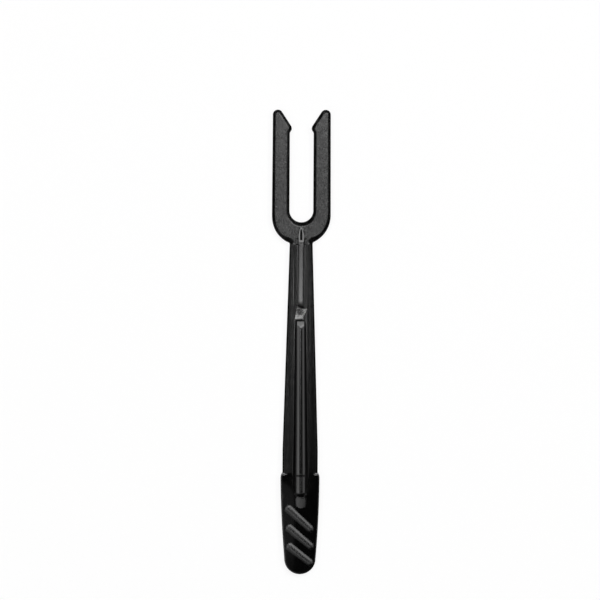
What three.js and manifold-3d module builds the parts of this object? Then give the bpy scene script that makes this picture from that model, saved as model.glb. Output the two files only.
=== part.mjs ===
// Two-tine chip fork: one black moulding, laid on its flat back with its ribbed face up.
// Millimetres. +Y runs from the grip to the tine tips, +Z out of the ribbed face, and the
// origin is under the middle of the fork, on the surface that it lies on.
// Each moulded feature is a solid of its own, and neighbours meet on flat faces.
import * as THREE from 'three';
import { mergeVertices } from 'three/addons/utils/BufferGeometryUtils.js';
import Module from 'manifold-3d';

// Head: two barbed tines and the yoke between them
const HEAD_THICKNESS = 1.6;
const TINE_LENGTH = 18.4; // tip to the middle of the gap's round end
const TINE_GAP = 4.36;
const TINE_ROOT_WIDTH = 3.2;
const TINE_TIP_WIDTH = 3.12;
const CROTCH_DEPTH = 4.1; // plastic between the gap's round end and the outer round
const TIP_RADIUS = 0.92;
const TIP_SLOPE = THREE.MathUtils.degToRad(33); // inner side of the tip, from the long axis
const BARB_REACH = 0.35;
const BARB_RADIUS = 0.8;
const BARB_FILLET = 0.6;
const HEAD_EDGE = 0.4; // round on the upper edges
const NECK_FILLET = 0.45; // hollow corner where the yoke meets the stem

// Stem: flat bar, widest at the grip, with flanges that fall away from the rib
const STEM_LENGTH = 41.9;
const STEM_NECK_WIDTH = 4.2;
const STEM_GRIP_WIDTH = 6.46;
const STEM_PARALLEL = 4.23; // straight stretch next to the grip
const STEM_THICKNESS = 1.5; // at the foot of the rib
const FLANGE_FALL_NECK = 0.07;
const FLANGE_FALL_GRIP = 0.1;
const STEM_EDGE = 0.25;
const RIB_LAND = 0.12; // flat strip beside the rib's foot

// Rib: narrow with a flat crest above the gate, wider with a round crest below it
const RIB_NECK_BASE = 1.5;
const RIB_GRIP_BASE = 2.8;
const RIB_NECK_HEIGHT = 0.55;
const RIB_GRIP_HEIGHT = 0.7;
const UPPER_CREST_NECK = 0.9;
const UPPER_CREST_GATE = 0.96;
const UPPER_CROWN = 0.03;
const LOWER_CREST_GATE = 1.4;
const LOWER_CREST_GRIP = 1.72;
const LOWER_CROWN = 0.18;
const UPPER_RAMP = 0.6; // where the crest dips to the gate
const LOWER_RAMP = 1.2;
const UPPER_RAMP_FOOT = 0.2; // height left at the foot of the ramp
const LOWER_RAMP_FOOT = 0.24;
const LOWER_FOOT_CROWN = 0.1;

// Nose: low arch in which the rib runs out on the yoke, with a thin slot along its crest
const NOSE_WIDTH = 2.7;
const NOSE_TO_GAP = 0.9;
const NOSE_EDGE = 0.06;
const NOSE_ARCH_POWER = 2.2;
const SLOT_WIDTH = 0.3;
const SLOT_TO_APEX = 0.4;
const SLOT_TO_NECK = 0.65;

// Gate: stub of the snapped-off runner, a little turned on the rib's line
const GATE_FROM_NECK = 12.53;
const GATE_WIDTH = 1.85;
const GATE_LENGTH = 2;
const GATE_TURN = THREE.MathUtils.degToRad(-13);
const GATE_CLEARANCE = 0.3;
const GATE_HEIGHT = 0.57; // at the middle of the break
const GATE_SHARDS = [0.14, 0.02, 0.1, 0.06]; // how far the broken corners stand above it

// Grip: thumb pad, the end of the rib on it, and slanting ridges
const PAD_THICKNESS = 1.6;
const PAD_WIDTH = 7.12;
const PAD_END_WIDTH = 5.62;
const PAD_TAPER_POWER = 5 / 3;
const PAD_EDGE = 0.45;
const PAD_END_MARGIN = 3.6; // last ridge's middle to the end
const SHOULDER_LENGTH = 0.9;
const RIB_ON_PAD = 3.94;
const TOE_LENGTH = 2.47;
const TOE_DROP = 0.42; // stretch where the crest drops to the toe
const TOE_WIDTH = 1.74;
const TOE_CREST = 1.56;
const TOE_HEIGHT = 0.34;
const TOE_CROWN = 0.08;
const TOE_END_WIDTH = 1.2;
const TOE_END_CREST = 0.96;
const TOE_END_HEIGHT = 0.05;
const RIDGE_COUNT = 3;
const RIDGE_PITCH = 3.265;
const RIDGE_WIDTH = 1.5;
const RIDGE_HEIGHT = 0.28;
const RIDGE_EDGE = 0.22;
const RIDGE_ANGLE = THREE.MathUtils.degToRad(43); // first ridge, from straight across
const RIDGE_ANGLE_STEP = THREE.MathUtils.degToRad(2.25); // each next one lies flatter
const RIDGE_TO_TOE = 0.24;
const RIDGE_MARGIN = 0.5; // first ridge's end to the pad's side
const RIDGE_MARGIN_STEP = 0.155; // each next one reaches closer to the side

// How finely curves are divided
const ARC_STEPS = 10;
const EDGE_STEPS = 3;
const CROWN_STEPS = 6;
const TAPER_STEPS = 12;
const NOSE_STEPS = 8;
const SHOULDER_STEPS = 3;
const LEAST_STEP = 1e-4;
const FILLET_SHARE = 0.8; // largest round, as a share of the radius or wall that it is cut from

// Places along Y, chained from the tips to the end of the grip
const gapRadius = TINE_GAP / 2;
const headRadius = gapRadius + TINE_ROOT_WIDTH;
const roundDrop = CROTCH_DEPTH - TINE_ROOT_WIDTH;
const neckHalf = STEM_NECK_WIDTH / 2;
const filletX = neckHalf + NECK_FILLET;
const neckDrop = Math.sqrt((headRadius + NECK_FILLET) ** 2 - filletX ** 2);
const headLength = TINE_LENGTH + roundDrop + neckDrop;
const toeToRidge = (RIDGE_WIDTH / 2 + RIDGE_TO_TOE + TOE_END_WIDTH / 2 * Math.sin(RIDGE_ANGLE))
  / Math.cos(RIDGE_ANGLE);
const firstRidge = RIB_ON_PAD + TOE_LENGTH + toeToRidge;
const padLength = firstRidge + (RIDGE_COUNT - 1) * RIDGE_PITCH + PAD_END_MARGIN;
const forkLength = headLength + STEM_LENGTH + padLength;
const tipY = forkLength / 2;
const rootY = tipY - TINE_LENGTH;
const headRoundY = rootY - roundDrop;
const neckY = tipY - headLength;
const gateY = neckY - GATE_FROM_NECK;
const shoulderY = neckY - STEM_LENGTH;
const endY = -forkLength / 2;

const satin = new THREE.MeshStandardMaterial({ color: 0x1c1c1d, roughness: 0.48, metalness: 0 });
const glossy = new THREE.MeshStandardMaterial({ color: 0x171718, roughness: 0.3, metalness: 0 });
const polished = new THREE.MeshStandardMaterial({ color: 0x121213, roughness: 0.2, metalness: 0 });
const broken = new THREE.MeshStandardMaterial({ color: 0x3a3a3b, roughness: 0.6, metalness: 0 });

const wasm = await Module();
wasm.setup();

function solidOf(geometry) {
  const bare = geometry.clone();
  bare.deleteAttribute('normal');
  bare.deleteAttribute('uv');
  const merged = mergeVertices(bare);
  return new wasm.Manifold(new wasm.Mesh({
    numProp: 3,
    vertProperties: Float32Array.from(merged.attributes.position.array),
    triVerts: Uint32Array.from(merged.index.array),
  }));
}

function geometryOf(solid) {
  const mesh = solid.getMesh();
  const geometry = new THREE.BufferGeometry();
  geometry.setAttribute('position', new THREE.BufferAttribute(mesh.vertProperties, mesh.numProp));
  geometry.setIndex(new THREE.BufferAttribute(mesh.triVerts, 1));
  geometry.computeVertexNormals();
  return geometry;
}

function blockBetween(low, high) {
  const size = new THREE.Vector3().subVectors(high, low);
  const block = new THREE.BoxGeometry(size.x, size.y, size.z);
  block.translate((low.x + high.x) / 2, (low.y + high.y) / 2, (low.z + high.z) / 2);
  return solidOf(block);
}

// The part of a solid between two planes across the fork, and between two along it
function slice(solid, lowY, highY, lowX = -forkLength, highX = forkLength) {
  const low = new THREE.Vector3(lowX, lowY, -forkLength);
  const high = new THREE.Vector3(highX, highY, forkLength);
  return solid.intersect(blockBetween(low, high));
}

// A plate with a flat sharp-edged back at z = 0 and round upper edges
function roundedPlate(shape, thickness, edge) {
  const plate = new THREE.ExtrudeGeometry(shape, {
    depth: thickness - edge,
    bevelThickness: edge,
    bevelSize: edge,
    bevelOffset: -edge,
    bevelSegments: EDGE_STEPS,
    curveSegments: ARC_STEPS,
  });
  const low = new THREE.Vector3(-forkLength, -forkLength, 0);
  const high = new THREE.Vector3(forkLength, forkLength, forkLength);
  return solidOf(plate).intersect(blockBetween(low, high));
}

// The closed outline of a right-hand side and its mirror image, with no point given twice
function mirroredShape(rightSide) {
  const leftSide = rightSide.map((point) => new THREE.Vector2(-point.x, point.y)).reverse();
  const outline = [...rightSide, ...leftSide];
  const next = (i) => outline[(i + 1) % outline.length];
  return new THREE.Shape(outline.filter((point, i) => point.distanceTo(next(i)) > LEAST_STEP));
}

// A bar through cross-sections given from -Y to +Y, each running right along its foot
function loft(sections) {
  const count = sections[0].length;
  const faces = [];
  for (let i = 1; i < count - 1; i += 1) {
    const last = (sections.length - 1) * count;
    faces.push(0, i, i + 1);
    faces.push(last, last + i + 1, last + i);
  }
  for (let s = 0; s < sections.length - 1; s += 1) {
    for (let i = 0; i < count; i += 1) {
      const a = s * count + i;
      const b = s * count + (i + 1) % count;
      faces.push(a, a + count, b + count);
      faces.push(a, b + count, b);
    }
  }
  const geometry = new THREE.BufferGeometry().setFromPoints(sections.flat());
  geometry.setIndex(faces);
  geometry.computeVertexNormals();
  return geometry;
}

function node(name, geometry, material) {
  const mesh = new THREE.Mesh(geometry, material);
  mesh.name = name;
  return mesh;
}

// Head: right-hand outline from the neck, round the tine and barb, to the gap's round end
function headOutline() {
  const side = new THREE.Path();
  const tabY = neckY - STEM_NECK_WIDTH;
  side.moveTo(neckHalf, tabY);
  const neckTurn = Math.atan2(neckDrop, filletX);
  side.absarc(filletX, neckY, NECK_FILLET, Math.PI, Math.PI - neckTurn, true);
  side.absarc(0, headRoundY, headRadius, -neckTurn, 0);
  const tipX = gapRadius + TINE_TIP_WIDTH - TIP_RADIUS;
  const tipRoundY = tipY - TIP_RADIUS;
  side.absarc(tipX, tipRoundY, TIP_RADIUS, 0, Math.PI - TIP_SLOPE);
  const barbX = gapRadius - BARB_REACH + BARB_RADIUS;
  const radii = TIP_RADIUS - BARB_RADIUS;
  const slopeRun = (tipX - barbX - radii * Math.cos(TIP_SLOPE)) / Math.sin(TIP_SLOPE);
  const barbY = tipRoundY + radii * Math.sin(TIP_SLOPE) - slopeRun * Math.cos(TIP_SLOPE);
  const undercut = Math.acos(1 - BARB_REACH / (BARB_RADIUS + BARB_FILLET));
  side.absarc(barbX, barbY, BARB_RADIUS, Math.PI - TIP_SLOPE, Math.PI + undercut);
  const hollowX = gapRadius - BARB_FILLET;
  const hollowY = barbY - (BARB_RADIUS + BARB_FILLET) * Math.sin(undercut);
  side.absarc(hollowX, hollowY, BARB_FILLET, undercut, 0, true);
  side.absarc(0, rootY, gapRadius, 0, -Math.PI / 2, true);
  return mirroredShape(side.getPoints(ARC_STEPS));
}

const headEdge = Math.min(HEAD_EDGE, FILLET_SHARE * Math.min(BARB_RADIUS, TIP_RADIUS, HEAD_THICKNESS));
const head = roundedPlate(headOutline(), HEAD_THICKNESS, headEdge);
const leftTine = slice(head, rootY, tipY + TINE_LENGTH, -forkLength, 0);
const rightTine = slice(head, rootY, tipY + TINE_LENGTH, 0, forkLength);
const yoke = slice(head, neckY, rootY);

// Stem: cross-section with round upper edges, flanges that fall away, and the rib's land
function stemSection(y, width, ribBase, fall) {
  const half = width / 2;
  const land = ribBase / 2 + RIB_LAND;
  const edgeTop = STEM_THICKNESS - fall;
  const rightSide = [new THREE.Vector3(half, y, 0)];
  for (let i = 0; i <= EDGE_STEPS; i += 1) {
    const turn = i / EDGE_STEPS * Math.PI / 2;
    const inset = STEM_EDGE * (1 - Math.cos(turn));
    const drop = STEM_EDGE * (1 - Math.sin(turn));
    rightSide.push(new THREE.Vector3(half - inset, y, edgeTop - drop));
  }
  rightSide.push(new THREE.Vector3(land, y, STEM_THICKNESS));
  const leftSide = rightSide.map((point) => new THREE.Vector3(-point.x, y, point.z)).reverse();
  return [leftSide.pop(), ...rightSide, ...leftSide];
}

// How far along the stem a place lies: 0 at the neck, 1 at the shoulder
const alongStem = (y) => (neckY - y) / STEM_LENGTH;
const ribBaseAt = (y) => THREE.MathUtils.lerp(RIB_NECK_BASE, RIB_GRIP_BASE, alongStem(y));
const ribHeightAt = (y) => THREE.MathUtils.lerp(RIB_NECK_HEIGHT, RIB_GRIP_HEIGHT, alongStem(y));

const taperEndY = shoulderY + STEM_PARALLEL;
const taperFall = THREE.MathUtils.lerp(FLANGE_FALL_NECK, FLANGE_FALL_GRIP, alongStem(taperEndY));
const stem = loft([
  stemSection(shoulderY, STEM_GRIP_WIDTH, ribBaseAt(shoulderY), FLANGE_FALL_GRIP),
  stemSection(taperEndY, STEM_GRIP_WIDTH, ribBaseAt(taperEndY), taperFall),
  stemSection(neckY, STEM_NECK_WIDTH, ribBaseAt(neckY), FLANGE_FALL_NECK),
]);

// Rib: sloping sides from the foot to the crest's edges, and a crowned crest
function ribSection(y, footZ, base, crest, height, crown) {
  const section = [new THREE.Vector3(-base / 2, y, footZ), new THREE.Vector3(base / 2, y, footZ)];
  for (let i = 0; i <= CROWN_STEPS; i += 1) {
    const across = 1 - 2 * i / CROWN_STEPS;
    const z = footZ + height - crown * across ** 2;
    section.push(new THREE.Vector3(across * crest / 2, y, z));
  }
  return section;
}

// Half the stub's extent along Y, turned as it is
const gateHalf = GATE_LENGTH / 2 * Math.cos(GATE_TURN) + GATE_WIDTH / 2 * Math.abs(Math.sin(GATE_TURN));
const upperEndY = gateY + gateHalf + GATE_CLEARANCE;
const lowerStartY = gateY - gateHalf - GATE_CLEARANCE;

function upperRibSection(y, height) {
  const share = (neckY - y) / (neckY - upperEndY);
  const crest = THREE.MathUtils.lerp(UPPER_CREST_NECK, UPPER_CREST_GATE, share);
  return ribSection(y, STEM_THICKNESS, ribBaseAt(y), crest, height, UPPER_CROWN);
}

function lowerCrestAt(y) {
  const share = (lowerStartY - y) / (lowerStartY - shoulderY);
  return THREE.MathUtils.lerp(LOWER_CREST_GATE, LOWER_CREST_GRIP, share);
}

function lowerRibSection(y, height, crown) {
  return ribSection(y, STEM_THICKNESS, ribBaseAt(y), lowerCrestAt(y), height, crown);
}

const upperRampY = upperEndY + UPPER_RAMP;
const lowerRampY = lowerStartY - LOWER_RAMP;
const upperRib = loft([
  upperRibSection(upperEndY, UPPER_RAMP_FOOT),
  upperRibSection(upperRampY, ribHeightAt(upperRampY)),
  upperRibSection(neckY, RIB_NECK_HEIGHT),
]);
const lowerRib = loft([
  lowerRibSection(shoulderY, RIB_GRIP_HEIGHT, LOWER_CROWN),
  lowerRibSection(lowerRampY, ribHeightAt(lowerRampY), LOWER_CROWN),
  lowerRibSection(lowerStartY, LOWER_RAMP_FOOT, LOWER_FOOT_CROWN),
]);

// Nose: arch-shaped in plan, its crest falling from the rib's crest to the yoke
const noseTopY = rootY - gapRadius - NOSE_TO_GAP;
const noseLength = noseTopY - neckY;
const noseRise = STEM_THICKNESS + RIB_NECK_HEIGHT - HEAD_THICKNESS;

function noseSection(share) {
  const y = neckY + share * noseLength;
  const half = NOSE_WIDTH / 2 * (1 - share) ** (1 / NOSE_ARCH_POWER);
  const crest = Math.min(UPPER_CREST_NECK / 2, half / 2);
  const rise = THREE.MathUtils.lerp(noseRise, NOSE_EDGE, share);
  const top = HEAD_THICKNESS + Math.max(rise, NOSE_EDGE);
  const edge = HEAD_THICKNESS + NOSE_EDGE / 2;
  return [
    new THREE.Vector3(-half, y, HEAD_THICKNESS),
    new THREE.Vector3(half, y, HEAD_THICKNESS),
    new THREE.Vector3(half, y, edge),
    new THREE.Vector3(crest, y, top),
    new THREE.Vector3(-crest, y, top),
    new THREE.Vector3(-half, y, edge),
  ];
}

const noseSections = [];
for (let i = 0; i < NOSE_STEPS; i += 1) {
  noseSections.push(noseSection(1 - (1 - i / NOSE_STEPS) ** NOSE_ARCH_POWER));
}
const slot = blockBetween(
  new THREE.Vector3(-SLOT_WIDTH / 2, neckY + SLOT_TO_NECK, 0),
  new THREE.Vector3(SLOT_WIDTH / 2, noseTopY - SLOT_TO_APEX, forkLength),
);
const ribNose = solidOf(loft(noseSections)).subtract(slot);

// Gate: four-sided stub with a hollow, uneven break on top
function gateStub() {
  const corners = [[-1, -1], [1, -1], [1, 1], [-1, 1]];
  const foot = corners.map(([x, y]) => new THREE.Vector3(x * GATE_WIDTH / 2, y * GATE_LENGTH / 2, 0));
  const rim = foot.map((point, i) => point.clone().setZ(GATE_HEIGHT + GATE_SHARDS[i]));
  const middle = new THREE.Vector3(0, 0, GATE_HEIGHT);
  const faces = [0, 2, 1, 0, 3, 2];
  for (let i = 0; i < corners.length; i += 1) {
    const next = (i + 1) % corners.length;
    faces.push(i, next, next + 4, i, next + 4, i + 4);
    faces.push(i + 4, next + 4, 8);
  }
  const geometry = new THREE.BufferGeometry().setFromPoints([...foot, ...rim, middle]);
  geometry.setIndex(faces);
  geometry.computeVertexNormals();
  return geometry;
}

// Grip pad: the stem widens at the shoulder, then tapers to a round end
const padHalf = PAD_WIDTH / 2;
const padEndHalf = PAD_END_WIDTH / 2;
const padTopY = shoulderY - SHOULDER_LENGTH;
const padRoundY = endY + padEndHalf;

function padHalfAt(y) {
  const share = THREE.MathUtils.clamp((padTopY - y) / (padTopY - padRoundY), 0, 1);
  return padHalf - (padHalf - padEndHalf) * share ** PAD_TAPER_POWER;
}

function padOutline() {
  const side = new THREE.Path();
  side.moveTo(STEM_GRIP_WIDTH / 2, shoulderY + PAD_WIDTH);
  const step = padHalf - STEM_GRIP_WIDTH / 2;
  for (let i = 0; i < SHOULDER_STEPS; i += 1) {
    const turn = i / SHOULDER_STEPS * Math.PI / 2;
    side.lineTo(padHalf - step * (1 - Math.sin(turn)), padTopY + SHOULDER_LENGTH * Math.cos(turn));
  }
  for (let i = 0; i < TAPER_STEPS; i += 1) {
    const y = THREE.MathUtils.lerp(padTopY, padRoundY, i / TAPER_STEPS);
    side.lineTo(padHalfAt(y), y);
  }
  side.absarc(0, padRoundY, padEndHalf, 0, -Math.PI / 2, true);
  return mirroredShape(side.getPoints(ARC_STEPS));
}

const padPlate = roundedPlate(padOutline(), PAD_THICKNESS, PAD_EDGE);
const gripPad = slice(padPlate, endY - PAD_WIDTH, shoulderY);

// Toe: the rib's end on the pad, a short drop, and a ramp that narrows as it falls
const crestZ = STEM_THICKNESS + RIB_GRIP_HEIGHT;
const toeRise = crestZ - PAD_THICKNESS;
const toeSunk = (PAD_THICKNESS - STEM_THICKNESS) / (RIB_GRIP_HEIGHT - LOWER_CROWN);
const toeBase = THREE.MathUtils.lerp(RIB_GRIP_BASE, LOWER_CREST_GRIP, toeSunk);
const ribEndY = shoulderY - RIB_ON_PAD;
const toeEndY = ribEndY - TOE_LENGTH;

const ribToe = loft([
  ribSection(toeEndY, PAD_THICKNESS, TOE_END_WIDTH, TOE_END_CREST, TOE_END_HEIGHT, 0),
  ribSection(ribEndY - TOE_DROP, PAD_THICKNESS, TOE_WIDTH, TOE_CREST, TOE_HEIGHT, TOE_CROWN),
  ribSection(ribEndY, PAD_THICKNESS, toeBase, LOWER_CREST_GRIP, toeRise, LOWER_CROWN),
  ribSection(shoulderY, PAD_THICKNESS, toeBase, LOWER_CREST_GRIP, toeRise, LOWER_CROWN),
]);

// Ridges: round-ended bars that slant from upper left to lower right
function ridge(index) {
  const y = shoulderY - firstRidge - index * RIDGE_PITCH;
  const angle = RIDGE_ANGLE - index * RIDGE_ANGLE_STEP;
  const radius = RIDGE_WIDTH / 2;
  const reach = padHalfAt(y) - (RIDGE_MARGIN - index * RIDGE_MARGIN_STEP) - radius;
  const run = reach / Math.cos(angle);
  const outline = new THREE.Shape();
  outline.absarc(run, 0, radius, -Math.PI / 2, Math.PI / 2);
  outline.absarc(-run, 0, radius, Math.PI / 2, 3 * Math.PI / 2);
  const edge = Math.min(RIDGE_EDGE, FILLET_SHARE * Math.min(radius, RIDGE_HEIGHT));
  const bar = roundedPlate(outline, RIDGE_HEIGHT, edge);
  const mesh = node(`grip_ridge_${index + 1}`, geometryOf(bar), polished);
  mesh.position.set(0, y, PAD_THICKNESS);
  mesh.rotation.z = -angle;
  return mesh;
}

const fork = new THREE.Group();
fork.add(node('left_tine', geometryOf(leftTine), satin));
fork.add(node('right_tine', geometryOf(rightTine), satin));
fork.add(node('yoke', geometryOf(yoke), satin));
fork.add(node('rib_nose', geometryOf(ribNose), satin));
fork.add(node('stem', stem, glossy));
fork.add(node('upper_rib', upperRib, glossy));
fork.add(node('lower_rib', lowerRib, glossy));
fork.add(node('grip_pad', geometryOf(gripPad), polished));
fork.add(node('rib_toe', ribToe, glossy));

const stub = node('gate_stub', gateStub(), broken);
stub.position.set(0, gateY, STEM_THICKNESS);
stub.rotation.z = GATE_TURN;
fork.add(stub);

for (let i = 0; i < RIDGE_COUNT; i += 1) {
  fork.add(ridge(i));
}

export default fork;
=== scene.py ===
import math
import random

import bmesh
import bpy
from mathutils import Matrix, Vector


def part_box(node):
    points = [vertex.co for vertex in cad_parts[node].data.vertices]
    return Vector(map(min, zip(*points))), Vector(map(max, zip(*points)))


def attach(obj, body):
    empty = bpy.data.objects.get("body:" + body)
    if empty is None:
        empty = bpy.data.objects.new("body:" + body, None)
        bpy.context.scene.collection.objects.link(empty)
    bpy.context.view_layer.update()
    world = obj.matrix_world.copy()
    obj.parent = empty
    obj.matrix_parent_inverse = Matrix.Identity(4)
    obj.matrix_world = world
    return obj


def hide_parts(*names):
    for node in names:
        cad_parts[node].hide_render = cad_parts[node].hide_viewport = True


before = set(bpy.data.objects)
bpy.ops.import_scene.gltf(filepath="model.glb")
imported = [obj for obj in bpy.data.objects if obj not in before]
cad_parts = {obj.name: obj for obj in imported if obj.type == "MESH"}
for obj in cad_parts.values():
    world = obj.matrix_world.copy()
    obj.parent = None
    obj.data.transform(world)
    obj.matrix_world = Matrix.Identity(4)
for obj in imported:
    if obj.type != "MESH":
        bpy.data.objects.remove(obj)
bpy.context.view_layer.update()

# Tines and yoke. The head is a flat U of black polystyrene, moulded in one shot with the
# stem, with a barb inside each tip. Worn mould steel leaves it satin, its upper edge is
# rounded all the way round, and tines and yoke run into each other where the gap turns.
mm = 0.001
tine_low, tine_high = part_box("right_tine")
yoke_low, yoke_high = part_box("yoke")
head_top = yoke_high.z
tip_y = tine_high.y
root_y = tine_low.y
neck_y = yoke_low.y
tine_side = tine_high.x
head_round = yoke_high.x
barb_reach = 0.35 * mm
gap_round = tine_low.x + barb_reach
crotch_depth = 4.1 * mm
head_round_y = root_y - gap_round - crotch_depth + head_round
tip_width = 3.12 * mm
tip_round = 0.92 * mm
tip_slope = math.radians(33)
barb_round = 0.8 * mm
barb_hollow = 0.6 * mm
neck_half = 2.1 * mm
neck_fillet = 0.45 * mm
neck_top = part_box("stem")[1].z
neck_level_half = 1.3 * mm
neck_run_out = 0.3 * mm
yoke_left_swell = 0.13 * mm
swell_turn = math.radians(40)
swell_run_in = 0.6 * mm
head_rim = 0.6 * mm
rim_steepest = math.radians(38)
rim_fullness = 0.3
crotch_rim_gain = 0.35
neck_rim_gain = 0.6
neck_rim_reach = 1.3 * mm
curve_fullness = 0.12
curve_run_in = 3 * mm
rim_land = 0.05 * mm
rim_land_rise = 0.0003 * mm
mould_draft = 0.01 * mm
back_break = 0.05 * mm
back_edge = [(back_break, 0), (0.3 * back_break, 0.3 * back_break), (0, back_break)]
arc_step = 0.07 * mm
weld_distance = 1e-4 * mm


def arc(centre_x, centre_y, radius, start, end):
    """Points along an arc, close enough to each other to look round."""
    steps = max(6, math.ceil(abs(end - start) * radius / arc_step))
    turns = [start + (end - start) * i / steps for i in range(steps + 1)]
    return [(centre_x + radius * math.cos(t), centre_y + radius * math.sin(t)) for t in turns]


def smooth(share):
    """0 to 1 with a soft start and a soft end."""
    share = min(max(share, 0), 1)
    return share * share * (3 - 2 * share)


def mirrored(path):
    """The same path on the other side of the fork, walked the other way."""
    return [(-x, y) for x, y in reversed(path)]


def inward(path, closed):
    """For each point of a wall with plastic on its left, the step that moves the wall in by one.

    The ends of an open wall slide straight across the fork, along the seam they end on.
    """
    steps = []
    for i, (x, y) in enumerate(path):
        normals = []
        if closed or i > 0:
            before = Vector((x, y)) - Vector(path[i - 1])
            normals.append(Vector((-before.y, before.x)).normalized())
        if closed or i < len(path) - 1:
            after = Vector(path[(i + 1) % len(path)]) - Vector((x, y))
            normals.append(Vector((-after.y, after.x)).normalized())
        if len(normals) == 1:
            steps.append(Vector((1 / normals[0].x, 0)))
        else:
            middle = (normals[0] + normals[1]).normalized()
            steps.append(middle / middle.dot(normals[0]))
    return steps


def round_over(width, steepest, fullness=1.0, steps=14):
    """Insets and drops across a round edge, from its steep outer side to the level top."""
    rings = [(width, 0)]
    for i in range(steps):
        slope = math.tan(steepest * ((i + 0.5) / steps) ** fullness)
        rings.append((width * (1 - (i + 1) / steps), rings[-1][1] + width / steps * slope))
    return rings[::-1]


def rounded_levels(top, rim):
    """Insets and heights of the rings of a plate: broken back edge, drafted wall, round rim."""
    rings = round_over(rim, rim_steepest, rim_fullness)
    levels = back_edge + [(mould_draft + inset, top - drop) for inset, drop in rings]
    return levels + [(mould_draft + rim + rim_land, top + rim_land_rise)]


def plate_loops(walls, levels, closed=False):
    """Rings of points for a plate whose outline is made of one or more walls."""
    steps = [inward(wall, closed) for wall in walls]
    loops = []
    for inset, z in levels:
        loop = []
        for wall, moves in zip(walls, steps):
            loop += [(x + inset * m.x, y + inset * m.y, z) for (x, y), m in zip(wall, moves)]
        loops.append(loop)
    return loops


def skin(name, loops, sharp=math.radians(30), capped=True):
    """A closed smooth mesh through loops of equally many points, filled at both ends.

    It needs no second cap where the last loop folds flat on itself.
    """
    count = len(loops[0])
    last = (len(loops) - 1) * count
    faces = [list(reversed(range(count)))]
    if capped:
        faces.append(list(range(last, last + count)))
    for row in range(0, last, count):
        for i in range(count):
            j = (i + 1) % count
            faces.append([row + i, row + j, row + count + j, row + count + i])
    mesh = bpy.data.meshes.new(name)
    mesh.from_pydata([p for loop in loops for p in loop], [], faces)
    tidy = bmesh.new()
    tidy.from_mesh(mesh)
    bmesh.ops.remove_doubles(tidy, verts=tidy.verts, dist=weld_distance)
    bmesh.ops.recalc_face_normals(tidy, faces=tidy.faces)
    tidy.to_mesh(mesh)
    tidy.free()
    mesh.shade_smooth()
    mesh.set_sharp_from_angle(angle=sharp)
    piece = bpy.data.objects.new(name, mesh)
    bpy.context.scene.collection.objects.link(piece)
    return piece


class Wire:
    """An output socket of a material, with arithmetic that adds Math nodes beside it."""

    def __init__(self, tree, socket=None):
        self.tree = tree
        self.socket = socket

    def node(self, kind, settings=None, sockets=None, output=0):
        """Add a node: its settings first, then the values or links of its sockets."""
        made = self.tree.nodes.new(kind)
        for name, value in (settings or {}).items():
            setattr(made, name, value)
        for name, value in (sockets or {}).items():
            if isinstance(value, Wire):
                self.tree.links.new(value.socket, made.inputs[name])
            else:
                made.inputs[name].default_value = value
        return Wire(self.tree, made.outputs[output] if made.outputs else None)

    def calculate(self, operation, first, second):
        """A Math node on two wires or numbers."""
        return self.node("ShaderNodeMath", {"operation": operation}, {0: first, 1: second})

    def __add__(self, other):
        return self.calculate("ADD", self, other)

    __radd__ = __add__

    def __sub__(self, other):
        return self.calculate("SUBTRACT", self, other)

    def __rsub__(self, other):
        return self.calculate("SUBTRACT", other, self)

    def __mul__(self, other):
        return self.calculate("MULTIPLY", self, other)

    __rmul__ = __mul__


def bare_material(name):
    """A new material with no nodes, as a wire to hang its nodes on."""
    material = bpy.data.materials.new(name)
    material.use_nodes = True
    material.node_tree.nodes.clear()
    return material, Wire(material.node_tree)


def speckle(start, place, size, detail=2.0):
    """Soft random spots of about one size, from 0 to 1."""
    sockets = {"Vector": place, "Scale": 1 / size, "Detail": detail}
    return start.node("ShaderNodeTexNoise", {"noise_dimensions": "3D"}, sockets)


plastic_ior = 1.45
deepest_black = (0.0006, 0.0006, 0.0006, 1)
mottle_size = 0.9 * mm
wave_size = 1.3 * mm
streak_size = 0.5 * mm
streak_stretch = 0.03
marks_from = 0.49
marks_to = 0.68


def shade_between(start, share, dark, light):
    """A colour part of the way from a dark one to a light one."""
    return start.node("ShaderNodeMix", {"data_type": "RGBA"}, {0: share, 6: dark, 7: light}, 2)


def plastic(start, colour, roughness, height):
    """Finish a material as plastic, its surface raised by a height."""
    normal = start.node("ShaderNodeBump", {}, {"Strength": 1, "Distance": 1, "Height": height})
    shader = start.node("ShaderNodeBsdfPrincipled", {}, {
        "Base Color": colour, "Roughness": roughness, "IOR": plastic_ior, "Normal": normal})
    start.node("ShaderNodeOutputMaterial", {}, {"Surface": shader})


def moulded_black(name, gloss, mottle_gloss, pale, grain, grain_depth, streak_depth, wave_depth):
    """Black moulded plastic: mottled gloss, fine grain and faint flow lines along the fork."""
    material, start = bare_material(name)
    place = start.node("ShaderNodeTexCoord", output="Object")
    along = start.node("ShaderNodeMapping", {}, {"Vector": place, "Scale": (1, streak_stretch, 1)})
    mottle = speckle(start, place, mottle_size, detail=3.0)
    wave = speckle(start, place, wave_size, detail=3.0)
    streak = speckle(start, along, streak_size)
    fine = speckle(start, place, grain)
    marks = start.node("ShaderNodeMapRange", {}, {
        "Value": 0.4 * mottle + 0.4 * streak + 0.2 * fine,
        "From Min": marks_from, "From Max": marks_to})
    colour = shade_between(start, marks, deepest_black, (pale, pale, pale, 1))
    roughness = gloss + mottle_gloss * (mottle - 0.5) + mottle_gloss * (streak - 0.5)
    height = grain_depth * fine + streak_depth * streak + wave_depth * wave
    plastic(start, colour, roughness, height)
    return material


def fit(piece, node, finish):
    """Give a piece its finish and let it stand for the solid that it dresses."""
    piece.data.materials.append(finish)
    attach(piece, "root")
    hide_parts(node)


satin = moulded_black("satin_black", gloss=0.265, mottle_gloss=0.14, pale=0.012, grain=0.09 * mm,
                      grain_depth=0.003 * mm, streak_depth=0.028 * mm, wave_depth=0.06 * mm)

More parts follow.
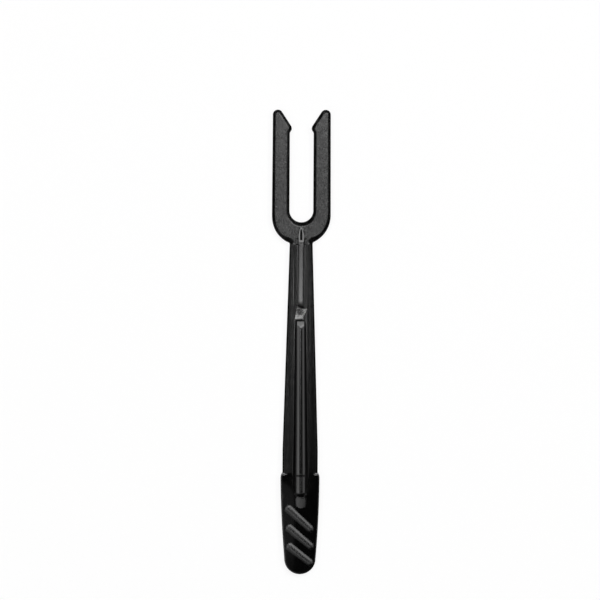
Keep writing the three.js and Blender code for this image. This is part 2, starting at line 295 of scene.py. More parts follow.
neck_turn = math.atan2(head_round_y - neck_y, neck_half + neck_fillet)
outer_side = arc(neck_half + neck_fillet, neck_y, neck_fillet, math.pi, math.pi - neck_turn)
outer_side += arc(0, head_round_y, head_round, -neck_turn, 0)[1:]
outer_side.append((tine_side, root_y))
gap_bottom = arc(0, root_y, gap_round, 0, -math.pi)

# The yoke's left curve is a hair fuller than its right.
left_side = []
for x, y in outer_side:
    turn = math.atan2(head_round_y - y, x)
    swell = yoke_left_swell * smooth(turn / swell_turn) * smooth((y - neck_y) / swell_run_in)
    left_side.append((x + swell * math.cos(turn), y - swell * math.sin(turn)))

tip_x = gap_round + tip_width - tip_round
tip_round_y = tip_y - tip_round
barb_x = gap_round - barb_reach + barb_round
slope_run = (tip_x - barb_x - (tip_round - barb_round) * math.cos(tip_slope)) / math.sin(tip_slope)
barb_y = tip_round_y + (tip_round - barb_round) * math.sin(tip_slope) - slope_run * math.cos(tip_slope)
undercut = math.acos(1 - barb_reach / (barb_round + barb_hollow))
hollow_y = barb_y - (barb_round + barb_hollow) * math.sin(undercut)
tine_wall = [(tine_side, root_y)]
tine_wall += arc(tip_x, tip_round_y, tip_round, 0, math.pi - tip_slope)
tine_wall += arc(barb_x, barb_y, barb_round, math.pi - tip_slope, math.pi + undercut)
tine_wall += arc(gap_round - barb_hollow, hollow_y, barb_hollow, undercut, 0)[1:]
tine_wall.append((gap_round, root_y))

head_levels = rounded_levels(head_top, head_rim)
right_tine = skin("moulded_right_tine", plate_loops([tine_wall], head_levels))
fit(right_tine, "right_tine", satin)
left_tine = skin("moulded_left_tine", plate_loops([mirrored(tine_wall)], head_levels))
fit(left_tine, "left_tine", satin)
yoke_walls = [mirrored(left_side) + outer_side, gap_bottom]
yoke_loops = plate_loops(yoke_walls, head_levels)

# The rim is wider round the bottom of the gap and at the neck, fuller on the outer curve,
# and level with the stem where the rib crosses it.
first_ring = len(back_edge)
rim_foot = [(x, y) for x, y, z in yoke_loops[first_ring]]
even_drops = [drop for inset, drop in round_over(head_rim, rim_steepest, rim_fullness)] + [0]
full_drops = [drop for inset, drop in round_over(head_rim, rim_steepest, curve_fullness)] + [0]
for level in range(first_ring, len(yoke_loops)):
    deeper = full_drops[level - first_ring] - even_drops[level - first_ring]
    for i, (x, y, z) in enumerate(yoke_loops[level]):
        foot_x, foot_y = rim_foot[i]
        if i >= len(yoke_walls[0]):
            gain = 1 + crotch_rim_gain * min((root_y - foot_y) / gap_round, 1)
        else:
            gain = 1 + neck_rim_gain * max(0, 1 - (foot_y - neck_y) / neck_rim_reach)
            z -= deeper * smooth((root_y - foot_y) / curve_run_in)
        x, y = foot_x + (x - foot_x) * gain, foot_y + (y - foot_y) * gain
        z = head_top - (head_top - z) * gain
        if abs(x) < neck_half and y < neck_y + 2 * head_rim:
            level_share = min(max((neck_level_half - abs(x)) / neck_run_out, 0), 1)
            z += (max(z, neck_top) - z) * level_share
        yoke_loops[level][i] = (x, y, z)
yoke = skin("moulded_yoke", yoke_loops)
fit(yoke, "yoke", satin)

# Rib nose. The rib runs out on the yoke in a low arch, part of the same shot of plastic.
# Its crest falls from the rib's crest to the arch, and a thin V-shaped slot is cut along it.
nose_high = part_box("rib_nose")[1]
nose_half = nose_high.x
nose_crest = nose_high.z
nose_top_y = root_y - gap_round - 0.9 * mm
nose_fall_y = neck_y + 0.25 * mm
nose_arch_power = 2.2
nose_edge = 0.06 * mm
nose_riser = 0.86
nose_riser_run = 0.12 * mm
nose_riser_most = 0.3
nose_crest_run_in = 0.5 * mm
nose_neck_rise = 0.02 * mm
nose_crest_rise = 0.01 * mm
nose_edge_round = 0.06 * mm
nose_crest_foot_round = 0.04 * mm
nose_crest_round = 0.02 * mm
nose_fillet = 0.18 * mm
crest_half_neck = 0.47 * mm
crest_half_nose = 0.46 * mm
crest_wall = 0.03 * mm
crest_wall_most = 0.2
slot_half = 0.22 * mm
slot_depth = 0.36 * mm
slot_start = neck_y + 0.65 * mm
slot_end = nose_top_y - 0.4 * mm
slot_run_in = 0.2 * mm
slot_round = 0.01 * mm
slot_floor_rise = 0.005 * mm
nose_sunk = head_top - 0.5 * mm


def toward(point, other, distance):
    """The place a distance along the way to another point, at most half way."""
    gap = math.dist(point, other)
    share = min(distance / gap, 0.5) if gap > 0 else 0
    return [p + (q - p) * share for p, q in zip(point, other)]


def section(y, corners, steps=6):
    """A closed cross-section at y through corners (x, z, round), each turned by a smooth curve."""
    loop = []
    for i, (x, z, turn) in enumerate(corners):
        start = toward((x, z), corners[i - 1][:2], turn)
        end = toward((x, z), corners[(i + 1) % len(corners)][:2], turn)
        for s in range(steps + 1):
            t = s / steps
            weights = ((1 - t) ** 2, 2 * t * (1 - t), t ** 2)
            across, up = (sum(w * p for w, p in zip(weights, ps)) for ps in zip(start, (x, z), end))
            loop.append((across, y, up))
    return loop


def both_sides(right):
    """Corners of a whole section from those of its right half, the middle one last."""
    return right + [(-x, z, turn) for x, z, turn in reversed(right[:-1])]


def blend(start, end, share):
    """A value, or a list of corners, part of the way between two."""
    if isinstance(start, (list, tuple)):
        return [blend(a, b, share) for a, b in zip(start, end)]
    return start + (end - start) * share


def head_surface(y):
    """Height of the yoke's top near its rounded edge at the neck."""
    rings = round_over(head_rim, rim_steepest, rim_fullness)
    drop = min(rings, key=lambda ring: abs(ring[0] - (y - neck_y - mould_draft)))[1]
    return max(head_top - drop, neck_top)


def nose_corners(y, half, ground):
    """Right-hand corners of the nose: foot, edge, level top, crest and slot."""
    share = min(max((y - nose_fall_y) / (nose_top_y - nose_fall_y), 0), 1)
    riser = nose_riser * half
    widen = smooth((y - neck_y) / nose_crest_run_in)
    crest = min(blend(crest_half_neck, crest_half_nose, widen), half / 2)
    level = blend(neck_top + nose_neck_rise, head_top + nose_edge, share)
    top = max(blend(nose_crest, head_top + nose_edge, share), level + nose_crest_rise)
    in_slot = smooth((y - slot_start) / slot_run_in) * smooth((slot_end - y) / slot_run_in)
    slot_floor = max(top - slot_depth, head_top + slot_floor_rise)
    return both_sides([
        (half, nose_sunk, 0),
        (half + nose_fillet, ground, 0),
        (riser, ground, nose_fillet),
        (riser - min(nose_riser_run, nose_riser_most * half), level, nose_edge_round),
        (crest + min(crest_wall, crest_wall_most * half), level + nose_crest_rise, nose_crest_foot_round),
        (crest, top, nose_crest_round),
        (min(slot_half, crest / 2), top, slot_round),
        (0, blend(top, slot_floor, in_slot), slot_round),
    ])


nose_loops = []
nose_steps = 40
for i in range(nose_steps + 1):
    arch = i / nose_steps
    y = neck_y + (nose_top_y - neck_y) * (1 - (1 - arch) ** nose_arch_power)
    nose_loops.append(section(y, nose_corners(y, nose_half * (1 - arch), head_surface(y))))
bright = moulded_black("rib_black", gloss=0.165, mottle_gloss=0.05, pale=0.006, grain=0.12 * mm,
                       grain_depth=0.0003 * mm, streak_depth=0.0012 * mm, wave_depth=0.003 * mm)
nose = skin("moulded_rib_nose", nose_loops)
fit(nose, "rib_nose", bright)

# Stem. A flat tapering bar that carries the rib: level beside the rib, then flanges that
# fall away to rounded edges. Glossier than the head, with flow lines along its length.
stem_low, stem_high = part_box("stem")
stem_top = stem_high.z
grip_half = stem_high.x
shoulder_y = stem_low.y
taper_end_y = shoulder_y + 4.23 * mm
flange_fall_neck = 0.08 * mm
flange_fall_grip = 0.09 * mm
stem_rim = 0.3 * mm
stem_rim_drop = 0.22 * mm
land_neck = 0.1 * mm
land_grip = 1.1 * mm
land_round = 0.2 * mm
stem_corner_round = 0.03 * mm


def along_stem(y):
    """0 at the neck, 1 at the shoulder."""
    return (neck_y - y) / (neck_y - shoulder_y)


def stations(start, end, step=0.5 * mm):
    """Places from one end of a bar to the other."""
    count = max(2, math.ceil(abs(end - start) / step))
    return [start + (end - start) * i / count for i in range(count + 1)]


stem_loops = []
for y in stations(neck_y, taper_end_y) + stations(taper_end_y, shoulder_y)[1:]:
    half = blend(neck_half, grip_half, min((neck_y - y) / (neck_y - taper_end_y), 1))
    fall = blend(flange_fall_neck, flange_fall_grip, along_stem(y))
    land = blend(land_neck, land_grip, along_stem(y))
    right = [
        (half, 0, back_break),
        (half - mould_draft, stem_top - fall - stem_rim_drop, 0),
        (half - mould_draft - stem_rim, stem_top - fall, stem_corner_round),
        (land, stem_top, land_round),
        (0, stem_top, 0),
    ]
    stem_loops.append(section(y, both_sides(right)))
glossy = moulded_black("gloss_black", gloss=0.15, mottle_gloss=0.08, pale=0.006, grain=0.12 * mm,
                       grain_depth=0.0006 * mm, streak_depth=0.017 * mm, wave_depth=0.004 * mm)
stem = skin("moulded_stem", stem_loops)
fit(stem, "stem", glossy)

# Upper rib. The stiffening rib above the gate, narrow and flat on top, moulded on the stem
# with hollow fillets at its foot. It flares into the nose at the neck, drifts a hair to the
# left and dips at the gate.
upper_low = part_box("upper_rib")[0]
rib_height_neck = 0.55 * mm
rib_height_grip = 0.7 * mm
upper_wall_neck = 0.53 * mm
upper_wall_gate = 0.61 * mm
crest_half_gate = 0.52 * mm
upper_left_gate = 0.06 * mm
rib_fillet = 0.1 * mm
knee_round = 0.02 * mm
crown_round = 0.4
upper_fillet_gate = 0.03 * mm
upper_edge_drop = 0.01 * mm
upper_quarter_drop = 0.002 * mm
upper_edge_round = 0.05 * mm
rib_sunk = stem_top - 0.08 * mm
neck_flare = 0.3 * mm
flare_end_y = neck_y - neck_flare
upper_run_on = 0.75 * mm
upper_end_y = upper_low.y - upper_run_on
upper_sag_length = 1.45 * mm
sag_start_y = upper_end_y + upper_sag_length
upper_sag = 0.065 * mm
upper_ramp = 0.62 * mm
upper_ramp_foot = 0.06 * mm
upper_end_slant = 0.3


def rib_corners(wall, crest, edge_z, quarter_z, top, edge_round,
                foot_z=stem_top, sunk=rib_sunk, fillet=rib_fillet, knee_in=0.6, knee_up=0.6):
    """Right-hand corners of a rib: foot, knee and wall, crest edge and crown."""
    return both_sides([
        (wall + fillet, sunk, 0),
        (wall + 2 * fillet, foot_z, 0),
        (wall, foot_z, fillet),
        (blend(wall, crest, knee_in), blend(foot_z, edge_z, knee_up), knee_round),
        (blend(wall, crest, (1 + knee_in) / 2), blend(foot_z, edge_z, (1 + knee_up) / 2), 0),
        (crest, edge_z, edge_round),
        (crest / 2, quarter_z, crown_round * crest),
        (0, top, crown_round * crest),
    ])


def rib_height(y):
    """Height of the rib's crest above the stem."""
    return blend(rib_height_neck, rib_height_grip, along_stem(y))


upper_places = stations(neck_y, flare_end_y, step=0.05 * mm)
upper_places += stations(flare_end_y, sag_start_y)[1:]
upper_places += stations(sag_start_y, upper_end_y, step=0.02 * mm)[1:]
upper_loops = []
for y in upper_places:
    share = (neck_y - y) / (neck_y - upper_end_y)
    wall = blend(upper_wall_neck, upper_wall_gate, share)
    crest = blend(crest_half_neck, crest_half_gate, share)
    sag = upper_sag * max(0, 1 - (y - upper_end_y) / upper_sag_length) ** 2
    risen = smooth((y - upper_end_y) / upper_ramp)
    top = stem_top + blend(upper_ramp_foot, rib_height(y) - sag, risen)
    corners = rib_corners(wall, crest, top - upper_edge_drop, top - upper_quarter_drop, top,
                          upper_edge_round, fillet=blend(rib_fillet, upper_fillet_gate, share))
    flare = smooth(1 - (neck_y - y) / neck_flare)
    flared = blend(corners, nose_corners(neck_y, nose_half, stem_top), flare)
    slant = upper_end_slant * (1 - smooth((y - upper_end_y) / upper_sag_length))
    shift = upper_left_gate * share
    upper_loops.append([(x - shift, y - slant * x, z) for x, y, z in section(y, flared)])
upper_rib = skin("moulded_upper_rib", upper_loops)
fit(upper_rib, "upper_rib", bright)

# Lower rib. Below the gate the rib is wider and round on top. It rises from the gate in a
# soft ramp and runs on over the shoulder to the grip, in one with the stem.
lower_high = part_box("lower_rib")[1]
lower_run_on = 0.12 * mm
lower_start_y = lower_high.y + lower_run_on
lower_wall_gate = 1.0 * mm
lower_wall_grip = 1.42 * mm
lower_crest_gate = 0.7 * mm
lower_crest_grip = 0.83 * mm
lower_left_gate = 0.06 * mm
lower_right_grip = 0.08 * mm
lower_knee_in_gate = 0.6
lower_knee_in_grip = 0.79
lower_knee_up_gate = 0.3
lower_knee_up_grip = 0.605
lower_quarter_gate = 0.36
lower_quarter_grip = 0.25
lower_edge_round = 0.08 * mm
lower_fillet = 0.04 * mm
lower_crown_gate = 0.17 * mm
lower_crown = 0.18 * mm
lower_crown_start = 0.2
lower_crown_power = 5
lower_ramp = 1.42 * mm
lower_ramp_end_y = lower_start_y - lower_ramp
lower_ramp_foot = 0.26 * mm
lower_kick = 0.25 * mm
lower_kick_foot = 0.12 * mm


def lower_rib_corners(y, top, crown):
    """Corners of the lower rib, whose side walls widen toward the grip."""
    share = min((lower_start_y - y) / (lower_start_y - shoulder_y), 1)
    wall = blend(lower_wall_gate, lower_wall_grip, share)
    crest = blend(lower_crest_gate, lower_crest_grip, share)
    quarter = blend(lower_quarter_gate, lower_quarter_grip, min(2 * share, 1))
    return rib_corners(wall, crest, top - crown, top - quarter * crown, top, lower_edge_round,
                       fillet=lower_fillet,
                       knee_in=blend(lower_knee_in_gate, lower_knee_in_grip, share),
                       knee_up=blend(lower_knee_up_gate, lower_knee_up_grip, share))


lower_places = stations(lower_start_y, lower_ramp_end_y, step=0.05 * mm)
lower_places += stations(lower_ramp_end_y, shoulder_y)[1:]
lower_loops = []
for y in lower_places:
    kick = min((lower_start_y - y) / lower_kick, 1)
    rise = min(max(0, lower_start_y - y - lower_kick) / (lower_ramp - lower_kick), 1)
    top = stem_top + blend(blend(lower_kick_foot, lower_ramp_foot, kick), rib_height(y), rise)
    share = (lower_start_y - y) / (lower_start_y - shoulder_y)
    crown = blend(lower_crown_gate, lower_crown, share)
    crown *= blend(lower_crown_start, 1, rise ** lower_crown_power)
    shift = blend(-lower_left_gate, lower_right_grip, share)
    corners = [(x + shift, z, r) for x, z, r in lower_rib_corners(y, top, crown)]
    lower_loops.append(section(y, corners))
lower_rib = skin("moulded_lower_rib", lower_loops)
fit(lower_rib, "lower_rib", bright)

# Gate stub. The short block of plastic left where the runner was snapped off the rib, a
# little turned. Its top is a rough, paler break with raised corners.
gate_low, gate_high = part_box("gate_stub")
gate_y = (gate_low.y + gate_high.y) / 2

# The stub's corners, and the heights of their splinters, from the lower left anticlockwise.
gate_corners = [
    (-1.1 * mm, -1.12 * mm),
    (0.36 * mm, -1.03 * mm),
    (1.17 * mm, 0.5 * mm),
    (-0.8 * mm, 1.0 * mm),
]
gate_shards = [0.16 * mm, 0.14 * mm, 0.14 * mm, 0.08 * mm]
gate_bite = 0.26 * mm
gate_height = 0.46 * mm
gate_hollow = 0.16 * mm
gate_hollow_across = 0.42
gate_hollow_along = 0.62
gate_hollow_spread = 0.06
gate_rough_low = -0.05 * mm
gate_rough_high = 0.02 * mm
gate_wobble = 0.05 * mm
gate_break_spread = 0.95
gate_skirts = [(0.96, stem_top + 0.2 * mm), (1.0, stem_top - 0.05 * mm)]
gate_skirt_wobble = 0.02
gate_undercut = 0.36 * mm
gate_foot = 0.4 * mm
gate_lean_power = 4
gate_sharp = math.radians(35)
gate_cells = 16
gate_random = random.Random(7)


def gate_point(u, v, spread, z):
    """A place on the stub, from shares across and along it between its four corners."""
    lower = blend(gate_corners[0], gate_corners[1], u)
    upper = blend(gate_corners[3], gate_corners[2], u)
    across, along = blend(lower, upper, v)
    across += gate_random.uniform(-gate_wobble, gate_wobble)
    along += gate_random.uniform(-gate_wobble, gate_wobble)
    along -= gate_bite * math.sin(math.pi * u) * v ** 2
    return (across * spread, gate_y + along * spread, z)


def break_height(u, v):
    """The uneven break: raised corners, a hollow above the middle and rough splinters."""
    lower = blend(gate_shards[0], gate_shards[1], u)
    upper = blend(gate_shards[3], gate_shards[2], u)
    rim = max(abs(u - 0.5), abs(v - 0.5)) * 2
    off_hollow = (u - gate_hollow_across) ** 2 + (v - gate_hollow_along) ** 2
    hollow = gate_hollow * math.exp(-off_hollow / gate_hollow_spread)
    rough = gate_random.uniform(gate_rough_low, gate_rough_high)
    return stem_top + gate_height + blend(lower, upper, v) * rim ** 2 - hollow + rough


gate_points = []
for j in range(gate_cells + 1):
    for i in range(gate_cells + 1):
        u, v = i / gate_cells, j / gate_cells
        gate_points.append(gate_point(u, v, gate_break_spread, break_height(u, v)))
gate_rim = [(i, 0) for i in range(gate_cells)] + [(gate_cells, i) for i in range(gate_cells)]
gate_rim += [(gate_cells - i, gate_cells) for i in range(gate_cells)]
gate_rim += [(0, gate_cells - i) for i in range(gate_cells)]
gate_faces = []
for j in range(gate_cells):
    for i in range(gate_cells):
        a = j * (gate_cells + 1) + i
        gate_faces.append([a, a + 1, a + gate_cells + 2, a + gate_cells + 1])
upper_ring = [j * (gate_cells + 1) + i for i, j in gate_rim]
for spread, height in gate_skirts:
    ring = list(range(len(gate_points), len(gate_points) + len(gate_rim)))
    for i, j in gate_rim:
        u, v = i / gate_cells, j / gate_cells
        wobble = gate_random.uniform(-gate_skirt_wobble, 0)
        across, along, z = gate_point(u, v, spread + wobble, height)
        along += gate_foot * v ** gate_lean_power - gate_undercut * (1 - v) ** gate_lean_power
        gate_points.append((across, along, z))
    for k in range(len(ring)):
        n = (k + 1) % len(ring)
        gate_faces.append([upper_ring[k], ring[k], ring[n], upper_ring[n]])
    upper_ring = ring
gate_faces.append(list(reversed(upper_ring)))
gate_mesh = bpy.data.meshes.new("snapped_gate_stub")
gate_mesh.from_pydata(gate_points, [], gate_faces)
gate_mesh.shade_smooth()
gate_mesh.set_sharp_from_angle(angle=gate_sharp)
gate_stub = bpy.data.objects.new("snapped_gate_stub", gate_mesh)
bpy.context.scene.collection.objects.link(gate_stub)

# The break's colour is darkest within a short reach of a place over its hollow and pales with distance
# from it, with the splinter noise, and towards the top of the stub.
break_dark = (0.012, 0.012, 0.012, 1)
break_pale = (0.42, 0.42, 0.415, 1)
break_dark_place = (-0.15 * mm, gate_y + 0.25 * mm, stem_top + gate_height)
break_dark_reach = 0.4 * mm
break_pale_reach = 1.5 * mm
break_pale_from = 0.3 * mm
break_marks_from = 0.7
break_marks_to = 1.0
splinter_size = 0.22 * mm
splinter_depth = 0.05 * mm
patch_size = 0.7 * mm
broken, start = bare_material("broken_black")
place = start.node("ShaderNodeTexCoord", output="Object")
splinter = speckle(start, place, splinter_size, detail=4.0)
patch = speckle(start, place, patch_size)
from_dark = start.node("ShaderNodeVectorMath", {"operation": "DISTANCE"}, {
    0: place, 1: break_dark_place}, 1)
outer = start.node("ShaderNodeMapRange", {}, {
    "Value": from_dark, "From Min": break_dark_reach, "From Max": break_pale_reach})
pale = start.node("ShaderNodeMapRange", {}, {
    "Value": 1.1 * splinter + 0.3 * patch + 0.3 * outer,
    "From Min": break_marks_from, "From Max": break_marks_to})
high = start.node("ShaderNodeMapRange", {}, {
    "Value": start.node("ShaderNodeSeparateXYZ", {}, {0: place}, 2),
    "From Min": stem_top + break_pale_from, "From Max": stem_top + gate_height})
colour = shade_between(start, pale * high, break_dark, break_pale)
plastic(start, colour, 0.35 + 0.3 * splinter, splinter_depth * splinter)
fit(gate_stub, "gate_stub", broken)

# Grip pad. The polished end of the fork that the thumb presses on: it widens at a shoulder,
# tapers to a round end, a hair fuller on its right, and is slightly crowned. It is moulded
# in one with the stem.
pad_low, pad_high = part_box("grip_pad")
pad_top = pad_high.z
pad_half = pad_high.x
pad_end_half = 2.81 * mm
end_y = pad_low.y
pad_round_y = end_y + pad_end_half
shoulder_length = 0.9 * mm
pad_top_y = shoulder_y - shoulder_length
pad_taper_power = 5 / 3
pad_rim = 0.2 * mm
pad_front_rim = 0.45 * mm
shoulder_corner = 2.35 * mm
shoulder_step = 0.1 * mm
pad_crown = 0.2 * mm
pad_crown_run = 5 * mm
pad_right_gain = 0.035
pad_shoulder_drop = 0.1 * mm
pad_shoulder_run = 4 * mm
spine_front_y = shoulder_y - 2.4 * mm


def pad_half_at(y):
    """Half width of the pad, tapering to its round end."""
    share = min(max((pad_top_y - y) / (pad_top_y - pad_round_y), 0), 1)
    return pad_half - (pad_half - pad_end_half) * share ** pad_taper_power


def flange_surface(x):
    """Height that the pad's front edge starts from: level with the stem, lower at its corners."""
    return stem_top - shoulder_step * max(0, (abs(x) - shoulder_corner) / (grip_half - shoulder_corner))


def pad_surface(x, y):
    """Height of the crowned pad, a little lower at the shoulder."""
    crown = pad_crown * smooth((shoulder_y - y) / pad_crown_run)
    drop = pad_shoulder_drop * (1 - smooth((shoulder_y - y) / pad_shoulder_run))
    return pad_top - drop - crown * (x / pad_half) ** 2


pad_side = arc(0, pad_round_y, pad_end_half, -math.pi / 2, 0)
pad_side += [(pad_half_at(y), y) for y in stations(pad_round_y, pad_top_y, step=0.3 * mm)[1:]]
corner_steps = 14
for i in range(1, corner_steps + 1):
    turn = i / corner_steps * math.pi / 2
    pad_side.append((grip_half + (pad_half - grip_half) * math.cos(turn),
                     pad_top_y + shoulder_length * math.sin(turn)))
pad_side += [(x, shoulder_y) for x in stations(grip_half, 0, step=0.25 * mm)[1:]]
pad_right = []
for x, y in pad_side:
    to_end = smooth((pad_top_y - y) / (pad_top_y - pad_round_y))
    pad_right.append((x * (1 + pad_right_gain * to_end), y))
pad_wall = pad_right[:-1] + mirrored(pad_side)[:-1]
pad_moves = inward(pad_wall, True)
pad_rim_drop = round_over(pad_rim, rim_steepest)[0][1]
pad_loops = plate_loops([pad_wall], back_edge, closed=True)
for rim_inset, drop in round_over(pad_rim, rim_steepest):
    loop = []
    for (x, y), m in zip(pad_wall, pad_moves):
        front = smooth((y - pad_top_y) / shoulder_length)
        inset = mould_draft + rim_inset * blend(1, pad_front_rim / pad_rim, front)
        across, along = x + inset * m.x, y + inset * m.y
        top = pad_surface(across, along)
        step = min(max(0, top - flange_surface(x)), pad_rim_drop)
        loop.append((across, along, top - drop * blend(1, step / pad_rim_drop, front)))
    pad_loops.append(loop)
crown_steps = 8
rim_loop = pad_loops[-1]
for i in range(1, crown_steps + 1):
    loop = []
    for k, (x, y, z) in enumerate(rim_loop):
        middle_y = (y + rim_loop[-k][1]) / 2
        spine_y = min(max(middle_y, pad_round_y), spine_front_y)
        across, along = x * (1 - i / crown_steps), blend(y, spine_y, i / crown_steps)
        loop.append((across, along, pad_surface(across, along)))
    pad_loops.append(loop)
polished = moulded_black("polished_black", gloss=0.09, mottle_gloss=0.03, pale=0.001, grain=0.15 * mm,
                         grain_depth=0.0002 * mm, streak_depth=0.0004 * mm, wave_depth=0.001 * mm)
grip_pad = skin("moulded_grip_pad", pad_loops, capped=False)
fit(grip_pad, "grip_pad", polished)

# Rib toe. The rib ends on the pad, all moulded in one: a fine line crosses it just past the
# shoulder, then its crest drops in a round nose to a short tongue that narrows as it ramps
# down to the pad.
toe_low, toe_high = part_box("rib_toe")
toe_end_y = toe_low.y
rib_run_on = 4.5 * mm
rib_end_y = shoulder_y - rib_run_on
toe_height = 0.25 * mm
toe_half = 0.88 * mm
toe_right = 0.14 * mm
toe_end_half = 0.66 * mm
toe_wall_lean = 0.06 * mm
toe_edge_drop = 0.05 * mm
toe_quarter_drop = 0.01 * mm
toe_edge_round = 0.1 * mm
toe_least = 0.03 * mm
toe_sunk = stem_top - 0.3 * mm
toe_fillet = 0.04 * mm
toe_set_back = 0.1 * mm
rib_end_fall = 1.0 * mm
rib_end_fall_y = rib_end_y + rib_end_fall
rib_end_round = 0.4 * mm
rib_end_crown = 0.1 * mm
rib_end_slim = 0.8
crease_y = shoulder_y - 0.43 * mm
crease_half = 0.14 * mm
crease_depth = 0.09 * mm
toe_places = [shoulder_y, crease_y + crease_half, crease_y]
toe_places += stations(crease_y - crease_half, rib_end_fall_y)
toe_places += stations(rib_end_fall_y, rib_end_y, step=0.04 * mm)[1:]
toe_loops = []
for y in toe_places:
    gone = smooth(1 - (y - rib_end_y) / rib_end_fall)
    top = blend(toe_high.z, pad_top + toe_height, gone)
    top -= crease_depth * max(0, 1 - abs(y - crease_y) / crease_half)
    corners = lower_rib_corners(y, top, blend(lower_crown, rib_end_crown, gone))
    slim = blend(1, rib_end_slim, gone)
    loop = section(y, [(x * slim + lower_right_grip, min(z, top), r) for x, z, r in corners])
    bow = rib_end_round * gone
    toe_loops.append([(x, y + bow * (x / lower_wall_grip) ** 2, z) for x, y, z in loop])
for y in stations(rib_end_y - toe_set_back, toe_end_y, step=0.06 * mm):
    share = (rib_end_y - y) / (rib_end_y - toe_end_y)
    half = blend(toe_half, toe_end_half, share ** 2)
    top = pad_top + blend(toe_height, 0, share)
    foot_z = min(pad_surface(half, y), top - toe_least)
    corners = rib_corners(half + toe_wall_lean, half, top - toe_edge_drop, top - toe_quarter_drop,
                          top, toe_edge_round, foot_z=foot_z, sunk=toe_sunk, fillet=toe_fillet)
    toe_loops.append(section(y, [(x + toe_right, z, r) for x, z, r in corners]))
rib_toe = skin("moulded_rib_toe", toe_loops)
toe_finish = moulded_black("toe_black", gloss=0.23, mottle_gloss=0.05, pale=0.006, grain=0.12 * mm,
                           grain_depth=0.0003 * mm, streak_depth=0.0012 * mm, wave_depth=0.003 * mm)
fit(rib_toe, "rib_toe", toe_finish)

# Grip ridges. Three round-topped bars moulded across the pad for the thumb to push against,
# on a slant from upper left to lower right, each a little flatter than the one before. The
# lower flank of each is wider on the left.
ridge_half_width = 0.75 * mm
ridge_height = 0.2 * mm
ridge_angle = math.radians(43)
ridge_angle_step = math.radians(2.25)
ridge_margin = 0.5 * mm
ridge_margin_step = 0.155 * mm
ridge_sunk = 0.7 * mm
ridge_follow = 0.6
ridge_cut_back = 0.1 * mm
ridge_flank_left = 1.12
ridge_flank_right = 0.82
ridge_shifts = [(-0.13 * mm, 0), (-0.04 * mm, -0.07 * mm), (-0.04 * mm, 0)]
ridge_steepest = 2 * math.atan(ridge_height / ridge_half_width)
ridge_finish = moulded_black("ridge_black", gloss=0.27, mottle_gloss=0.08, pale=0.01, grain=0.1 * mm,
                             grain_depth=0.001 * mm, streak_depth=0.002 * mm, wave_depth=0.01 * mm)
for index, (ridge_x, shift_y) in enumerate(ridge_shifts):
    node = f"grip_ridge_{index + 1}"
    ridge_low, ridge_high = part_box(node)
    ridge_y = shift_y + (ridge_low.y + ridge_high.y) / 2
    angle = ridge_angle - index * ridge_angle_step
    reach = pad_half_at(ridge_y) - (ridge_margin - index * ridge_margin_step) - ridge_half_width
    run = reach / math.cos(angle) - ridge_cut_back
    places = stations(-run, run, step=0.3 * mm)
    outline = [(x, -ridge_half_width) for x in places[:-1]]
    outline += arc(run, 0, ridge_half_width, -math.pi / 2, math.pi / 2)
    outline += [(-x, ridge_half_width) for x in places[1:-1]]
    outline += arc(-run, 0, ridge_half_width, math.pi / 2, 3 * math.pi / 2)[:-1]
    moves = inward(outline, True)
    ridge_loops = []
    for inset, drop in [(0, ridge_sunk)] + round_over(ridge_half_width, ridge_steepest):
        loop = []
        for (x, y), m in zip(outline, moves):
            px, py = x + inset * m.x, y + inset * m.y
            if py < 0:
                py *= blend(ridge_flank_left, ridge_flank_right, (px + run) / (2 * run))
            across = px * math.cos(angle) + py * math.sin(angle) + ridge_x
            along = ridge_y - px * math.sin(angle) + py * math.cos(angle)
            foot_z = pad_surface(ridge_follow * across, along)
            loop.append((across, along, foot_z + ridge_height - drop))
        ridge_loops.append(loop)
    ridge = skin(f"moulded_{node}", ridge_loops)
    fit(ridge, node, ridge_finish)

# Stage. A white paper sweep that the fork lies on, turned up far away, soft boxes round it
# and a camera straight above.
floor_gap = 0.02 * mm
paper_white = (0.96, 0.96, 0.96, 1)
paper_glow = 0.85
sweep_flat = 1.8
sweep_round = 0.3
sweep_steps = 8
sweep = [(radius, -floor_gap) for radius in (0.2, 0.6, 1.2, sweep_flat)]
for i in range(1, sweep_steps + 1):
    turn = i / sweep_steps * math.pi / 2
    sweep.append((sweep_flat + sweep_round * math.sin(turn),
                  sweep_round * (1 - math.cos(turn)) - floor_gap))
sweep_turns = 64
floor_points = []
for radius, z in sweep:
    for i in range(sweep_turns):
        turn = 2 * math.pi * i / sweep_turns
        floor_points.append((radius * math.cos(turn), radius * math.sin(turn), z))
floor_faces = [list(range(sweep_turns))]
for row in range(len(sweep) - 1):
    for i in range(sweep_turns):
        j = (i + 1) % sweep_turns
        floor_faces.append([row * sweep_turns + i, (row + 1) * sweep_turns + i,
                            (row + 1) * sweep_turns + j, row * sweep_turns + j])
floor_mesh = bpy.data.meshes.new("floor")
floor_mesh.from_pydata(floor_points, [], floor_faces)
floor_mesh.shade_smooth()
floor = bpy.data.objects.new("floor", floor_mesh)
bpy.context.scene.collection.objects.link(floor)
paper, start = bare_material("paper")
sheet = start.node("ShaderNodeBsdfPrincipled", {}, {
    "Base Color": paper_white, "Roughness": 0.9, "Specular IOR Level": 0.0})
white = start.node("ShaderNodeEmission", {}, {"Color": (1, 1, 1, 1), "Strength": 1})
seen = start.node("ShaderNodeLightPath", output="Is Camera Ray")
mirrored_in_gloss = start.node("ShaderNodeLightPath", output="Is Glossy Ray")
seen_through = start.node("ShaderNodeLightPath", output="Is Transmission Ray")
looked_at = start.calculate("MAXIMUM", start.calculate("MAXIMUM", seen, mirrored_in_gloss), seen_through)
shader = start.node("ShaderNodeMixShader", {}, {0: paper_glow * looked_at, 1: sheet, 2: white})
start.node("ShaderNodeOutputMaterial", {}, {"Surface": shader})
floor_mesh.materials.append(paper)

lamp_distance = 1.0


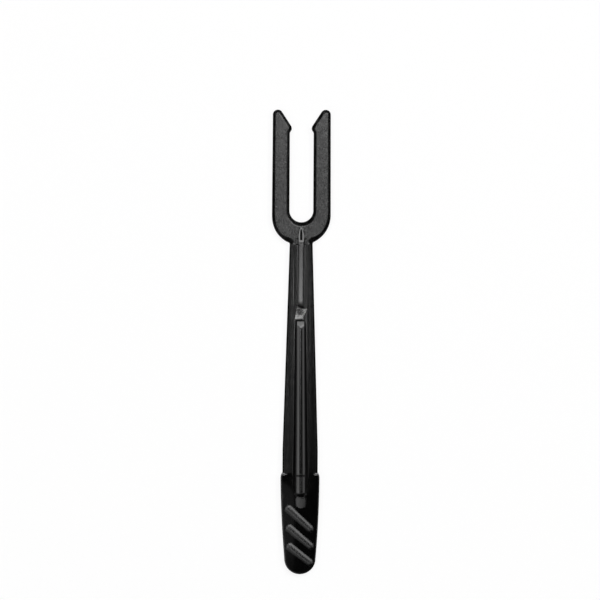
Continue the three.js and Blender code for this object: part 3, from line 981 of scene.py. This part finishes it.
def softbox(name, azimuth, near, far, spread, radiance):
    """A soft box over the fork, in degrees: azimuth clockwise from the tips, reach from overhead."""
    middle = math.radians((near + far) / 2)
    turn = math.radians(azimuth)
    lamp = bpy.data.lights.new(name, "AREA")
    lamp.shape = "RECTANGLE"
    lamp.size = 2 * lamp_distance * math.tan(math.radians(spread / 2))
    lamp.size_y = 2 * lamp_distance * math.tan(math.radians((far - near) / 2))
    lamp.energy = radiance * math.pi * lamp.size * lamp.size_y
    holder = bpy.data.objects.new(name, lamp)
    out = lamp_distance * math.sin(middle)
    holder.location = (out * math.sin(turn), out * math.cos(turn), lamp_distance * math.cos(middle))
    holder.rotation_euler = (-middle, 0, -turn)
    bpy.context.scene.collection.objects.link(holder)


softbox("overhead", azimuth=0, near=-1.1, far=2.4, spread=6.4, radiance=12.8)
softbox("above_tips", azimuth=0, near=3, far=12, spread=24, radiance=0.45)
softbox("beyond_tips", azimuth=0, near=12, far=33, spread=22, radiance=7)
softbox("right_of_tips", azimuth=42, near=18, far=46, spread=22, radiance=5.4)
softbox("left_side", azimuth=270, near=15, far=38, spread=36, radiance=2.4)
softbox("left_card", azimuth=270, near=4, far=12, spread=22, radiance=0.21)
softbox("right_card", azimuth=90, near=4, far=12, spread=12.5, radiance=0.12)
softbox("left_of_grip", azimuth=222, near=16, far=58, spread=30, radiance=0.92)
softbox("near_grip", azimuth=180, near=16, far=27, spread=30, radiance=1.8)
softbox("right_side", azimuth=90, near=25, far=45, spread=36, radiance=1.9)

studio_glow = 0.01
world = bpy.data.worlds.new("studio")
bpy.context.scene.world = world
world.use_nodes = True
background = world.node_tree.nodes["Background"]
background.inputs["Color"].default_value = (1, 1, 1, 1)
background.inputs["Strength"].default_value = studio_glow

camera = bpy.data.cameras.new("camera")
camera.sensor_width = 36
camera.lens = 100

# Size of a pixel at the fork, and where the fork's middle lies in the picture.
view_scale = 0.18315 * mm
image_side = 600
fork_in_image = (300.7, 341.75)
fork_lean = math.radians(0.29)
camera_height = view_scale * image_side * camera.lens / camera.sensor_width
right_way = Vector((math.cos(fork_lean), math.sin(fork_lean), 0))
up_way = Vector((-math.sin(fork_lean), math.cos(fork_lean), 0))
off_right = (fork_in_image[0] - image_side / 2) * view_scale
off_up = (image_side / 2 - fork_in_image[1]) * view_scale
camera_holder = bpy.data.objects.new("camera", camera)
camera_holder.location = -off_right * right_way - off_up * up_way
camera_holder.location.z = camera_height + stem_top / 2
camera_holder.rotation_euler = (0, 0, fork_lean)
camera.clip_start = 0.01
bpy.context.scene.collection.objects.link(camera_holder)
bpy.context.scene.camera = camera_holder
bpy.context.scene.view_settings.view_transform = "Standard"
